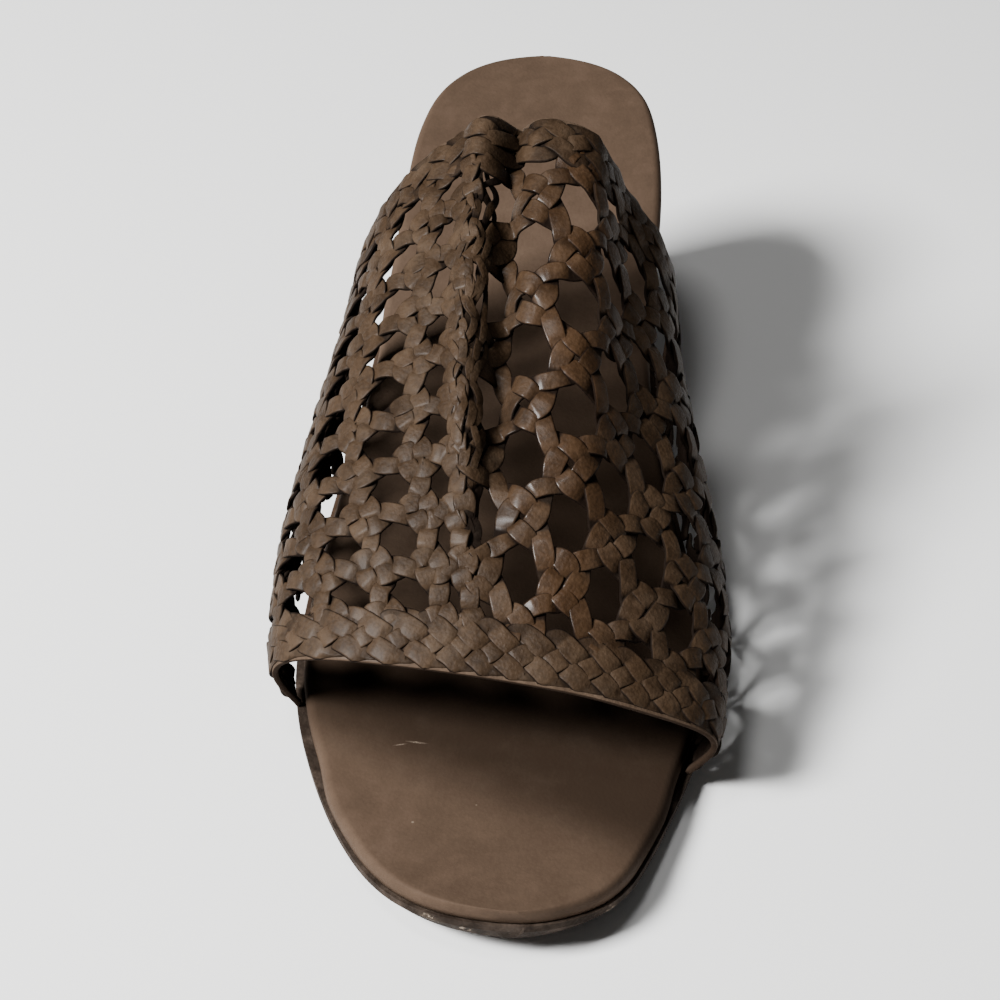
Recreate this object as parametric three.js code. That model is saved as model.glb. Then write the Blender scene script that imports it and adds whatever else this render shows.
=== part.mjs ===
// A woven wedge sandal for the right foot: an open woven upper of one wall, an insole, a wedge and an outsole.
// Sizes are in millimetres. "Back" is the distance behind the toe tip, +X is the inner side of the foot, +Z is up.
import * as THREE from "three";

// Driving sizes of the sole
const SHOE_LENGTH = 228;
const OUTSOLE_THICKNESS = 4;
const OUTSOLE_UNDERCUT = 2.2;
const OUTSOLE_END_UNDERCUT = 0.7;
const OUTSOLE_LIP = 1.5;
const INSOLE_THICKNESS = 3.2;
const INSOLE_INSET = 1.8;
const INSOLE_SHOWN_INSET = 0.5;
const COVERED_FROM = [30, 44];
const COVERED_TO = [138, 152];
const INSOLE_EDGE_ROUND = 2;
const INSOLE_HEEL_DISH = 1.4;
const WEDGE_INSET = 0.5;
const WEDGE_WAIST = 1.2;
const WEDGE_LEAST_THICKNESS = 1.1;
const HEEL_LEAN = 6;
const HEEL_LEAN_START = 150;
const TOE_SPRING = 5.5;
const TOE_SPRING_END = 40;
const SEAM_GAP = 0.3;
const SOLE_STATIONS = 56;
const END_TURN = 0.045;

// Driving sizes of the upper
const WALL = 2.2;
const FEATHER_LIFT = 0.45;
const CREST_POWER = 0.9;
const LATERAL_PEAK = 2.6;
const MEDIAL_PEAK = 3.5;
const BORDER_SHARE = 0.075;
const FEATHER_SHARE = 0.02;
const WEAVE_ROWS = 9;
const OUTER_FIRST = 0.0625;
const OUTER_LAST = 0.4025;
const OUTER_COLUMNS = 4;
const INNER_COLUMNS = 8;
const FOLD_START = 0.45;
const FOLD_END = 0.5;
const NET_LEAN = 0.0276;
const NET_LEAN_MIDDLE = 0.27;
const NET_LEAN_REACH = 0.23;
const STRIP_HALF = 1.9;
const STRIP_LIFT = 0.9;
const HOLLOW_LIFT = 0.2;
const RIM_LIFT = 0.35;
const BORDER_LIFT = 1.3;
const BORDER_EDGE_LIFT = 0.6;

// The fold along the outer side of the instep: a ridge with a trough beside it, then a soft shoulder and a flatter flank
const FOLDS = [
  { around: 0.462, spread: 0.021, height: 2.6 },
  { around: 0.496, spread: 0.023, height: -4.6 },
  { around: 0.6, spread: 0.04, height: 1.8 },
  { around: 0.7, spread: 0.06, height: -2.2 },
];
const FOLD_FADE_START = 0.1;
const FOLD_FADE_END = 0.5;

// Plan outline of the sole
const OUTLINE = [
  { back: 0, lateral: 4.5, medial: 4.5 },
  { back: 2.3, lateral: -9.2, medial: 14 },
  { back: 6.5, lateral: -16.6, medial: 20.4 },
  { back: 13, lateral: -22.8, medial: 25.3 },
  { back: 22, lateral: -28.4, medial: 29 },
  { back: 32, lateral: -33.2, medial: 32.5 },
  { back: 44, lateral: -37.8, medial: 36.3 },
  { back: 56, lateral: -41.4, medial: 39.3 },
  { back: 68, lateral: -43.6, medial: 41 },
  { back: 82, lateral: -44.2, medial: 40.5 },
  { back: 100, lateral: -42.2, medial: 36.4 },
  { back: 120, lateral: -38.4, medial: 31.4 },
  { back: 140, lateral: -34.8, medial: 28.4 },
  { back: 160, lateral: -32.3, medial: 28 },
  { back: 180, lateral: -31, medial: 28.8 },
  { back: 200, lateral: -29, medial: 27.4 },
  { back: 214, lateral: -25, medial: 24 },
  { back: 223, lateral: -17.6, medial: 16.8 },
  { back: 228, lateral: -0.5, medial: -0.5 },
];

// Height that the wedge gives the insole over the outsole
const WEDGE_RISE = [
  { back: 0, rise: 0 },
  { back: 60, rise: 0 },
  { back: 80, rise: 2.6 },
  { back: 100, rise: 9.2 },
  { back: 120, rise: 18.6 },
  { back: 140, rise: 29.2 },
  { back: 160, rise: 39.2 },
  { back: 180, rise: 47.4 },
  { back: 200, rise: 53 },
  { back: 214, rise: 55.2 },
  { back: 228, rise: 57 },
];

// Cross sections of the last under the upper
const LAST_SECTIONS = [
  { back: 34, crestX: 5, crestZ: 29, lateralBulge: 7.5, medialBulge: 7.5, lateralRound: 0.95, medialRound: 0.85 },
  { back: 45, crestX: 4, crestZ: 34.5, lateralBulge: 9, medialBulge: 7, lateralRound: 0.95, medialRound: 0.88 },
  { back: 60, crestX: 2, crestZ: 44, lateralBulge: 9, medialBulge: 5.5, lateralRound: 1, medialRound: 0.92 },
  { back: 80, crestX: 0, crestZ: 56.5, lateralBulge: 7.5, medialBulge: 4, lateralRound: 1.05, medialRound: 0.95 },
  { back: 100, crestX: -1, crestZ: 68.5, lateralBulge: 6.5, medialBulge: 4, lateralRound: 1.1, medialRound: 0.95 },
  { back: 120, crestX: -1, crestZ: 80, lateralBulge: 5.5, medialBulge: 4, lateralRound: 1.1, medialRound: 0.95 },
  { back: 140, crestX: -1, crestZ: 89.5, lateralBulge: 5, medialBulge: 4.2, lateralRound: 1.1, medialRound: 0.95 },
  { back: 150, crestX: -1, crestZ: 93, lateralBulge: 5, medialBulge: 4.2, lateralRound: 1.1, medialRound: 0.95 },
];

// Toe edge and collar edge of the upper, around the girth from the outer feather line to the inner one
const EDGES = [
  { around: 0, toe: 60, collar: 134 },
  { around: 0.1, toe: 55, collar: 137 },
  { around: 0.2, toe: 49.5, collar: 139.5 },
  { around: 0.4, toe: 42.5, collar: 145 },
  { around: 0.6, toe: 39, collar: 145 },
  { around: 0.8, toe: 39.5, collar: 140 },
  { around: 1, toe: 45.5, collar: 134 },
];

// Smooth curve through one column of a table
function along(table, keyName, columnName, at, keyOf = (key) => key) {
  const keys = table.map((row) => keyOf(row[keyName]));
  const values = table.map((row) => row[columnName]);
  const last = keys.length - 1;
  const slope = (k) => (values[k + 1] - values[k]) / (keys[k + 1] - keys[k]);
  const bend = (k) => {
    if (k === 0) return slope(0);
    if (k === last) return slope(last - 1);
    const before = keys[k] - keys[k - 1];
    const after = keys[k + 1] - keys[k];
    return (slope(k - 1) * after + slope(k) * before) / (before + after);
  };
  const x = Math.min(Math.max(keyOf(at), keys[0]), keys[last]);
  let i = 0;
  while (i < last - 1 && x > keys[i + 1]) i += 1;
  const span = keys[i + 1] - keys[i];
  const t = (x - keys[i]) / span;
  const start = (1 + 2 * t) * (1 - t) ** 2 * values[i] + t * (1 - t) ** 2 * span * bend(i);
  const end = t * t * (3 - 2 * t) * values[i + 1] + t * t * (t - 1) * span * bend(i + 1);
  return start + end;
}

// The outline is read by a turn angle, which keeps both ends round
const turnOf = (back) => Math.acos(1 - (2 * back) / SHOE_LENGTH);
const backOf = (turn) => (SHOE_LENGTH * (1 - Math.cos(turn))) / 2;
const lateralAt = (back) => along(OUTLINE, "back", "lateral", back, turnOf);
const medialAt = (back) => along(OUTLINE, "back", "medial", back, turnOf);
const springAt = (back) => TOE_SPRING * Math.max(0, 1 - back / TOE_SPRING_END) ** 2;
const riseAt = (back) => Math.max(0, along(WEDGE_RISE, "back", "rise", back));
const insoleBottomAt = (back) => springAt(back) + OUTSOLE_THICKNESS + riseAt(back) + SEAM_GAP;
const leanShare = (back) => Math.max(0, back - HEEL_LEAN_START) / (SHOE_LENGTH - HEEL_LEAN_START);
const leanedBack = (back) => back - HEEL_LEAN * leanShare(back) ** 2;

function stationsFrom(firstTurn) {
  const lastTurn = Math.PI - END_TURN;
  const turnAt = (k) => firstTurn + ((lastTurn - firstTurn) * k) / (SOLE_STATIONS - 1);
  return Array.from({ length: SOLE_STATIONS }, (_, k) => backOf(turnAt(k)));
}

// A place along the sole brought in from both round ends by an inset
const broughtIn = (back, inset) => inset + back * (1 - (2 * inset) / SHOE_LENGTH);

// The insole is nearly flush with the sole where it shows, and further in under the upper
function insoleInsetAt(back) {
  const started = THREE.MathUtils.smoothstep(back, ...COVERED_FROM);
  const ended = THREE.MathUtils.smoothstep(back, ...COVERED_TO);
  return INSOLE_SHOWN_INSET + (INSOLE_INSET - INSOLE_SHOWN_INSET) * started * (1 - ended);
}

// Left and right sides of a section, brought in by an inset that shrinks at the round ends
function sidesAt(back, inset) {
  const lateral = lateralAt(back);
  const medial = medialAt(back);
  const taken = Math.min(inset, 0.3 * (medial - lateral));
  return { lateral: lateral + taken, medial: medial - taken };
}

// Solid through a row of rings that run counter-clockwise as seen from the heel end
function loft(rings) {
  const corners = [];
  const faces = [];
  const size = rings[0].length;
  rings.forEach((ring) => ring.forEach((point) => corners.push(...point)));
  for (let k = 0; k < rings.length - 1; k += 1) {
    for (let i = 0; i < size; i += 1) {
      const next = (i + 1) % size;
      const a = k * size + i;
      const b = k * size + next;
      faces.push(a, b, b + size, a, b + size, a + size);
    }
  }
  const lastRing = (rings.length - 1) * size;
  for (let i = 1; i < size - 1; i += 1) {
    faces.push(0, i + 1, i);
    faces.push(lastRing, lastRing + i, lastRing + i + 1);
  }
  return solidFrom(corners, faces);
}

function solidFrom(corners, faces) {
  const geometry = new THREE.BufferGeometry();
  geometry.setAttribute("position", new THREE.Float32BufferAttribute(corners, 3));
  geometry.setIndex(faces);
  geometry.computeVertexNormals();
  return geometry;
}

// The outsole has an upright lip at its top, and below it a flank that leans in towards the floor, less at the ends
function outsoleRing(back) {
  const { lateral, medial } = sidesAt(back, 0);
  const floor = sidesAt(back, OUTSOLE_UNDERCUT);
  const bottom = springAt(back);
  const top = bottom + OUTSOLE_THICKNESS;
  const y = leanedBack(back);
  const floorY = leanedBack(broughtIn(back, OUTSOLE_END_UNDERCUT));
  return [
    [floor.medial, floorY, bottom],
    [floor.lateral, floorY, bottom],
    [lateral, y, top - OUTSOLE_LIP],
    [lateral, y, top],
    [medial, y, top],
    [medial, y, top - OUTSOLE_LIP],
  ];
}

function insoleRing(place) {
  const { lateral, medial } = sidesAt(place, insoleInsetAt(place));
  const back = broughtIn(place, INSOLE_SHOWN_INSET);
  const width = medial - lateral;
  const round = Math.min(INSOLE_EDGE_ROUND, 0.3 * width);
  const corner = round * (1 - Math.SQRT1_2);
  const bottom = insoleBottomAt(back);
  const top = bottom + INSOLE_THICKNESS;
  const dish = (INSOLE_HEEL_DISH * Math.sin(turnOf(place)) * riseAt(back)) / WEDGE_RISE.at(-1).rise;
  return [
    [medial, back, bottom],
    [lateral, back, bottom],
    [lateral, back, top - round],
    [lateral + corner, back, top - corner],
    [lateral + round, back, top],
    [lateral + 0.3 * width + corner, back, top - 0.8 * dish],
    [lateral + 0.5 * width, back, top - dish],
    [medial - 0.3 * width - corner, back, top - 0.8 * dish],
    [medial - round, back, top],
    [medial - corner, back, top - corner],
    [medial, back, top - round],
  ];
}

function wedgeRing(place) {
  const { lateral, medial } = sidesAt(place, WEDGE_INSET);
  const back = broughtIn(place, WEDGE_INSET);
  const bottom = OUTSOLE_THICKNESS + SEAM_GAP;
  const top = insoleBottomAt(back) - SEAM_GAP;
  const middle = (bottom + top) / 2;
  const waist = Math.min(WEDGE_WAIST * ((top - bottom) / WEDGE_RISE.at(-1).rise), 0.2 * (medial - lateral));
  const low = leanedBack(back);
  const half = (low + back) / 2;
  return [
    [medial, low, bottom],
    [lateral, low, bottom],
    [lateral + waist, half, middle],
    [lateral, back, top],
    [medial, back, top],
    [medial - waist, half, middle],
  ];
}

// The turn at which the wedge first has its least thickness
function wedgeStartTurn() {
  let back = 0;
  while (riseAt(back) - SEAM_GAP < WEDGE_LEAST_THICKNESS) back += 0.25;
  return turnOf(back);
}

// One point of the last: theta runs over the foot from the outer feather line to the inner one
function lastPoint(theta, back) {
  const column = (name) => along(LAST_SECTIONS, "back", name, back);
  const outward = SEAM_GAP + WALL / 2 - INSOLE_INSET;
  const lateral = lateralAt(back) - outward;
  const medial = medialAt(back) + outward;
  const middle = (lateral + medial) / 2;
  const half = (medial - lateral) / 2;
  const across = Math.cos(theta);
  const over = Math.sin(theta);
  const outer = across >= 0;
  const side = outer ? -1 : 1;
  const round = column(outer ? "lateralRound" : "medialRound");
  const swell = outer ? LATERAL_PEAK * over * across ** 2 : MEDIAL_PEAK * over * across ** 4;
  const bulge = column(outer ? "lateralBulge" : "medialBulge") * swell;
  const shift = (column("crestX") - middle) * over * over;
  const foot = insoleBottomAt(back) + FEATHER_LIFT;
  const x = middle + shift + side * (half * Math.abs(across) ** round + bulge);
  const z = foot + (column("crestZ") - foot) * Math.max(over, 0) ** CREST_POWER;
  return new THREE.Vector3(x, back, z);
}

// The angle that lies a given share of the girth around the last
const GIRTH_STEPS = 180;
const girthTables = new Map();
function thetaAt(around, back) {
  const key = Math.round(back * 20) / 20;
  if (!girthTables.has(key)) {
    const lengths = [0];
    let before = lastPoint(0, key);
    for (let k = 1; k <= GIRTH_STEPS; k += 1) {
      const point = lastPoint((Math.PI * k) / GIRTH_STEPS, key);
      lengths.push(lengths[k - 1] + point.distanceTo(before));
      before = point;
    }
    girthTables.set(key, lengths);
  }
  const lengths = girthTables.get(key);
  const wanted = Math.min(Math.max(around, 0), 1) * lengths[GIRTH_STEPS];
  let k = 0;
  while (k < GIRTH_STEPS - 1 && lengths[k + 1] < wanted) k += 1;
  const part = (wanted - lengths[k]) / (lengths[k + 1] - lengths[k]);
  return (Math.PI * (k + part)) / GIRTH_STEPS;
}

// The net leans: towards the toe its lines move to the inner side, but not at the soles or past the fold
function leanedAround(around, length) {
  const share = THREE.MathUtils.smoothstep(around, 0, 0.2) * (1 - THREE.MathUtils.smoothstep(around, 0.36, 0.52));
  return around + NET_LEAN * share * Math.tanh((NET_LEAN_MIDDLE - length) / NET_LEAN_REACH);
}

// One point of the upper's middle face: around the girth, and along from the toe edge to the collar
function upperPoint(around, length) {
  const place = leanedAround(around, length);
  const toe = along(EDGES, "around", "toe", place);
  const collar = along(EDGES, "around", "collar", place);
  const back = toe + (collar - toe) * length;
  return lastPoint(thetaAt(place, back), back);
}

const SLOPE_STEP = 0.004;
function upperNormal(around, length) {
  const low = Math.max(0, around - SLOPE_STEP);
  const high = Math.min(1, around + SLOPE_STEP);
  const acrossFoot = upperPoint(high, length).sub(upperPoint(low, length));
  const alongFoot = upperPoint(around, length + SLOPE_STEP).sub(upperPoint(around, length - SLOPE_STEP));
  return acrossFoot.cross(alongFoot).normalize();
}

function foldHeight(around, length) {
  const fade = THREE.MathUtils.smoothstep(length, FOLD_FADE_START, FOLD_FADE_END);
  const heights = FOLDS.map((fold) => fold.height * Math.exp(-(((around - fold.around) / fold.spread) ** 2)));
  return fade * heights.reduce((sum, height) => sum + height, 0);
}

// The flat net of the weave: named knots and the triangles between them, holes left open
class WeaveNet {
  constructor() {
    this.knots = [];
    this.index = new Map();
    this.faces = [];
  }

  knot(around, length, lift) {
    const key = `${around.toFixed(5)} ${length.toFixed(5)}`;
    if (!this.index.has(key)) {
      this.index.set(key, this.knots.length);
      this.knots.push({ around, length, lift });
    }
    return this.index.get(key);
  }

  face(...loop) {
    for (let i = 1; i < loop.length - 1; i += 1) this.faces.push([loop[0], loop[i], loop[i + 1]]);
  }

  // Raises the flat net to one closed wall: outer face, inner face, and a rim round every open edge
  solid() {
    const corners = [];
    const offset = (point, normal, height) => corners.push(...point.clone().addScaledVector(normal, height));
    const places = this.knots.map(({ around, length, lift }) => {
      const fold = foldHeight(around, length);
      return { point: upperPoint(around, length), normal: upperNormal(around, length), fold, lift };
    });
    places.forEach(({ point, normal, fold, lift }) => offset(point, normal, fold + WALL / 2 + lift));
    places.forEach(({ point, normal, fold }) => offset(point, normal, fold - WALL / 2));
    const inner = this.knots.length;
    const faces = [];
    const edges = new Set();
    this.faces.forEach(([a, b, c]) => {
      faces.push(a, b, c, a + inner, c + inner, b + inner);
      [[a, b], [b, c], [c, a]].forEach(([from, to]) => edges.add(`${from} ${to}`));
    });
    edges.forEach((edge) => {
      const [from, to] = edge.split(" ").map(Number);
      if (edges.has(`${to} ${from}`)) return;
      faces.push(from, from + inner, to + inner, from, to + inner, to);
    });
    return solidFrom(corners, faces);
  }
}

const steps = (start, end, count) => Array.from({ length: count + 1 }, (_, k) => start + ((end - start) * k) / count);
const rowLines = steps(BORDER_SHARE, 1 - BORDER_SHARE, WEAVE_ROWS);
const halfRowLines = steps(BORDER_SHARE, 1 - BORDER_SHARE, 2 * WEAVE_ROWS);
const innerRowLines = [rowLines[0], ...halfRowLines.filter((_, k) => k % 2 === 1), rowLines.at(-1)];
const outerLines = [FEATHER_SHARE, ...steps(OUTER_FIRST, OUTER_LAST, OUTER_COLUMNS), FOLD_START];
const innerLines = steps(FOLD_END, 1 - FEATHER_SHARE, INNER_COLUMNS);
const FOLD_MIDDLE = (FOLD_START + FOLD_END) / 2;

// Share of half a cell that its hole takes between two half strips
const MEAN_GIRTH = 155;
const MEAN_LENGTH = 105;
const holeShare = (start, end, whole) => 1 - (2 * STRIP_HALF) / ((end - start) * whole);

// Outer side: the holes stand in straight rows and columns, and strips cross at the corners of the cells
function outerCell(net, left, right, low, high) {
  const u = (part) => (left + right) / 2 + (part * (right - left)) / 2;
  const v = (part) => (low + high) / 2 + (part * (high - low)) / 2;
  const rimAcross = holeShare(left, right, MEAN_GIRTH);
  const rimAlong = holeShare(low, high, MEAN_LENGTH);
  const crossing = 0.72;
  const cornerAcross = Math.min(0.5, 0.8 * rimAcross);
  const cornerAlong = 0.5;
  const around = [[1, 0], [1, 1], [0, 1], [-1, 1], [-1, 0], [-1, -1], [0, -1], [1, -1]];
  const strip = around.map(([x, y]) => {
    const corner = x !== 0 && y !== 0;
    const reach = corner ? crossing : 1;
    return net.knot(u(x * reach), v(y * reach), STRIP_LIFT);
  });
  const rim = around.map(([x, y]) => {
    const corner = x !== 0 && y !== 0;
    return net.knot(u(x * (corner ? cornerAcross : rimAcross)), v(y * (corner ? cornerAlong : rimAlong)), RIM_LIFT);
  });
  for (let k = 0; k < 8; k += 1) {
    const next = (k + 1) % 8;
    net.face(strip[k], strip[next], rim[next], rim[k]);
  }
  for (let k = 1; k < 8; k += 2) {
    const corner = net.knot(u(around[k][0]), v(around[k][1]), HOLLOW_LIFT);
    net.face(strip[k - 1], corner, strip[k]);
    net.face(corner, strip[(k + 1) % 8], strip[k]);
  }
}

// Centre and inner side: holes and clusters of crossings take turns like the fields of a chessboard
function holeCell(net, left, right, low, high) {
  const u = (part) => (left + right) / 2 + (part * (right - left)) / 2;
  const v = (part) => (low + high) / 2 + (part * (high - low)) / 2;
  const rimSide = 0.86;
  const rimCorner = 0.64;
  const corners = [[1, 1], [-1, 1], [-1, -1], [1, -1]];
  const twist = corners.map(([x, y]) => net.knot(u(x), v(y), STRIP_LIFT));
  const rim = corners.map(([x, y]) => net.knot(u(x * rimCorner), v(y * rimCorner), RIM_LIFT));
  const sides = [[0, 1], [-1, 0], [0, -1], [1, 0]];
  sides.forEach(([x, y], k) => {
    const next = (k + 1) % 4;
    const middle = net.knot(u(x * rimSide), v(y * rimSide), RIM_LIFT);
    net.face(twist[k], twist[next], middle);
    net.face(twist[k], middle, rim[k]);
    net.face(twist[next], rim[next], middle);
  });
}

function clusterCell(net, left, right, low, high) {
  const u = (part) => (left + right) / 2 + (part * (right - left)) / 2;
  const v = (part) => (low + high) / 2 + (part * (high - low)) / 2;
  const reach = 0.7;
  const corners = [[1, 1], [-1, 1], [-1, -1], [1, -1]].map(([x, y]) => net.knot(u(x), v(y), STRIP_LIFT));
  const sides = [[0, 1], [-1, 0], [0, -1], [1, 0]];
  const crossings = sides.map(([x, y]) => net.knot(u(x * reach), v(y * reach), STRIP_LIFT));
  const middle = net.knot(u(0), v(0), HOLLOW_LIFT);
  for (let k = 0; k < 4; k += 1) {
    const next = (k + 1) % 4;
    net.face(corners[k], corners[next], crossings[k]);
    net.face(corners[next], crossings[next], crossings[k]);
    net.face(crossings[k], crossings[next], middle);
  }
}

function weaveWall() {
  const net = new WeaveNet();
  for (let row = 0; row < WEAVE_ROWS; row += 1) {
    for (let k = 0; k < outerLines.length - 1; k += 1) {
      outerCell(net, outerLines[k], outerLines[k + 1], rowLines[row], rowLines[row + 1]);
    }
  }
  // The rows of the inner side lie half a row off, so its first and last rows are half as high
  for (let row = 0; row < innerRowLines.length - 1; row += 1) {
    const low = innerRowLines[row];
    const high = innerRowLines[row + 1];
    for (let k = 0; k < INNER_COLUMNS; k += 1) {
      const cell = (row + k) % 2 === 0 ? clusterCell : holeCell;
      cell(net, innerLines[k], innerLines[k + 1], low, high);
    }
    const innerEdge = [low, high].map((length) => net.knot(1 - FEATHER_SHARE, length, STRIP_LIFT));
    const innerFoot = [low, high].map((length) => net.knot(1, length, 0));
    net.face(innerEdge[0], innerFoot[0], innerFoot[1], innerEdge[1]);
    const halfRow = row === 0 || row === innerRowLines.length - 2;
    const ridgeLines = halfRow ? [low, high] : [low, (low + high) / 2, high];
    const ridge = ridgeLines.map((length) => net.knot(FOLD_MIDDLE, length, STRIP_LIFT));
    const trough = [low, high].map((length) => net.knot(FOLD_END, length, STRIP_LIFT));
    net.face(ridge[0], trough[0], ridge[1]);
    net.face(ridge[1], trough[0], trough[1]);
    if (!halfRow) net.face(ridge[1], trough[1], ridge[2]);
  }
  // The fold's outer half and the outer margin, which runs down to the sole, are plain bands
  for (let k = 0; k < halfRowLines.length - 1; k += 1) {
    const band = (start, startLift, end) => {
      const [low, high] = [halfRowLines[k], halfRowLines[k + 1]];
      net.face(
        net.knot(start, low, startLift),
        net.knot(end, low, STRIP_LIFT),
        net.knot(end, high, STRIP_LIFT),
        net.knot(start, high, startLift),
      );
    };
    band(FOLD_START, STRIP_LIFT, FOLD_MIDDLE);
    band(0, 0, FEATHER_SHARE);
  }
  plaitedBorder(net, [0, BORDER_SHARE / 2, BORDER_SHARE], [BORDER_EDGE_LIFT, BORDER_LIFT, STRIP_LIFT]);
  plaitedBorder(net, [1 - BORDER_SHARE, 1 - BORDER_SHARE / 2, 1], [STRIP_LIFT, BORDER_LIFT, BORDER_EDGE_LIFT]);
  return net;
}

// A border stands proud of the net along the toe edge and the collar
function plaitedBorder(net, lengths, lifts) {
  const outerHalves = outerLines.slice(1).flatMap((line, k) => [(outerLines[k] + line) / 2, line]);
  const places = [0, FEATHER_SHARE, ...outerHalves, FOLD_MIDDLE, ...innerLines, 1];
  for (let k = 0; k < places.length - 1; k += 1) {
    for (let band = 0; band < 2; band += 1) {
      const at = (place, row) => {
        const foot = place === 0 || place === 1;
        return net.knot(place, lengths[row], foot ? 0 : lifts[row]);
      };
      net.face(
        at(places[k], band),
        at(places[k + 1], band),
        at(places[k + 1], band + 1),
        at(places[k], band + 1),
      );
    }
  }
}

const LEATHER = { upper: 0x5f4e40, insole: 0x66523f, wedge: 0x4a3b30, outsole: 0x3a322c };

function piece(name, geometry, colour, roughness) {
  const material = new THREE.MeshStandardMaterial({ color: colour, roughness, metalness: 0 });
  const mesh = new THREE.Mesh(geometry, material);
  mesh.name = name;
  return mesh;
}

const pieces = [
  piece("outsole", loft(stationsFrom(END_TURN).map(outsoleRing)), LEATHER.outsole, 0.8),
  piece("wedge", loft(stationsFrom(wedgeStartTurn()).map(wedgeRing)), LEATHER.wedge, 0.6),
  piece("insole", loft(stationsFrom(END_TURN).map(insoleRing)), LEATHER.insole, 0.65),
  piece("upper", weaveWall().solid(), LEATHER.upper, 0.55),
];

// The origin sits under the middle of the shoe, on the floor
const box = new THREE.Box3();
pieces.forEach((mesh) => box.union(new THREE.Box3().setFromBufferAttribute(mesh.geometry.attributes.position)));
const middle = box.getCenter(new THREE.Vector3());
pieces.forEach((mesh) => mesh.geometry.translate(-middle.x, -middle.y, -box.min.z));

const sandal = new THREE.Group();
sandal.name = "woven_wedge_sandal";
pieces.forEach((mesh) => sandal.add(mesh));

export default sandal;
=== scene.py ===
"""Looks of a woven wedge sandal for the right foot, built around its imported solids.

The shape classes work in millimetres, with "back" measured from the toe tip. The frame is in metres.
"""

import logging
import math
from dataclasses import dataclass, field
from enum import Enum
from itertools import product
from typing import Callable, Sequence

import bpy
import numpy as np
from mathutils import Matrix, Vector


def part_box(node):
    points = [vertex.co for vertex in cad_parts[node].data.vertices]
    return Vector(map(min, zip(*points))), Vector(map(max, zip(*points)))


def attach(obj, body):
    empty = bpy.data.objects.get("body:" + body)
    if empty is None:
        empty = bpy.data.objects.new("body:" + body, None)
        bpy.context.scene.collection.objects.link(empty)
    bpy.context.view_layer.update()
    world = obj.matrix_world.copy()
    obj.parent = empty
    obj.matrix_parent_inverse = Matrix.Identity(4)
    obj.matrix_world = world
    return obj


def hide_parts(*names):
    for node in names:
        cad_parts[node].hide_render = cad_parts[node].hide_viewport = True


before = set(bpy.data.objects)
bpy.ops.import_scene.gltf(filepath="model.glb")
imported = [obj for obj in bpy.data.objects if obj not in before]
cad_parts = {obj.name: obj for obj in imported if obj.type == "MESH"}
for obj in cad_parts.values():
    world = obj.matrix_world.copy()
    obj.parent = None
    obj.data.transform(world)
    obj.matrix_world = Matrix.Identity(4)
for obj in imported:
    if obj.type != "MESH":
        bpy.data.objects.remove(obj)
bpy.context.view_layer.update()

LOG = logging.getLogger("sandal")
MM = 0.001
TINY = 1e-6
EVEN_TONE = 0.5
Array = np.ndarray
Random = np.random.Generator
Material = bpy.types.Material
Node = bpy.types.Node
Outputs = bpy.types.bpy_prop_collection
Socket = bpy.types.NodeSocket
Thing = bpy.types.Object
Tree = bpy.types.NodeTree
Pair = tuple[float, float]
Place = tuple[float, float, float]
Display = tuple[int, int, int]
Linear = tuple[float, float, float, float]


class Slot(Enum):
    """Names of the record's material slots, one for each finish."""

    WOVEN = "woven_leather"
    INSOLE = "insole_leather"
    WEDGE = "wedge_cover"
    OUTSOLE = "outsole_rubber"


class Family(Enum):
    """The two families of strips in the net, by the way they lean."""

    FALLING = 1
    RISING = -1


def smooth_curves(table: Sequence[Sequence[float]], at: Array) -> Array:
    """Reads smooth curves through a table's points: cubic pieces with slopes averaged from both neighbours.

    Args:
        table: rows of a rising key and a value for each curve.
        at: keys to read, held inside the table.

    Returns:
        The values at those keys, curve by curve.
    """
    keys, values = np.split(np.array(table, float), [1], axis=1)
    step = np.diff(keys, axis=0)
    slope = np.diff(values, axis=0) / step
    middle = (slope[:-1] * step[1:] + slope[1:] * step[:-1]) / (step[1:] + step[:-1])
    bend = np.concatenate([slope[:1], middle, slope[-1:]])
    at = np.clip(np.asarray(at, float), keys[0], keys[-1])
    piece = np.clip(np.searchsorted(keys[:, 0], at) - 1, 0, len(keys) - 2)
    part = (at[..., None] - keys[piece]) / step[piece]
    rest = 1 - part
    start = rest**2 * ((1 + 2 * part) * values[piece] + part * step[piece] * bend[piece])
    end = part**2 * ((3 - 2 * part) * values[piece + 1] - rest * step[piece] * bend[piece + 1])
    return np.moveaxis(start + end, -1, 0)


def smooth_step(low: float, high: float, at: Array) -> Array:
    """Eases from 0 at low to 1 at high along a cubic."""
    part = np.clip((at - low) / (high - low), 0, 1)
    return part * part * (3 - 2 * part)


def hump(rise: Pair, fall: Pair, at: Array) -> Array:
    """Eases from 0 to 1 between the first two places, and back to 0 between the other two."""
    return smooth_step(*rise, at) * (1 - smooth_step(*fall, at))


def bell(at: Array, middle: float, spread: float) -> Array:
    """Reads a bell-shaped curve of height 1."""
    return np.exp(-(((at - middle) / spread) ** 2))


def unit(vectors: Array) -> Array:
    """Scales vectors in the last axis to length one."""
    return vectors / np.maximum(np.linalg.norm(vectors, axis=-1, keepdims=True), TINY)


def random_wave(beat: Array, pace: Pair, random: Random) -> Array:
    """Draws a sine wave with a random pace and a random start."""
    return np.sin(beat * random.uniform(*pace) + random.uniform(0, 2 * math.pi))


def linear_colour(display: Display) -> Linear:
    """Turns a display colour of 0 to 255 into a shader's linear colour, by the sRGB curve."""
    part = np.array(display) / 255
    return (*np.where(part <= 0.04045, part / 12.92, ((part + 0.055) / 1.055) ** 2.4).tolist(), 1.0)


def placed(name: str, data: bpy.types.ID) -> Thing:
    """Links a new object into the scene.

    Args:
        name: name of the object.
        data: its mesh, light or camera.

    Returns:
        The object, at the origin.
    """
    thing = bpy.data.objects.new(name, data)
    bpy.context.scene.collection.objects.link(thing)
    return thing


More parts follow.
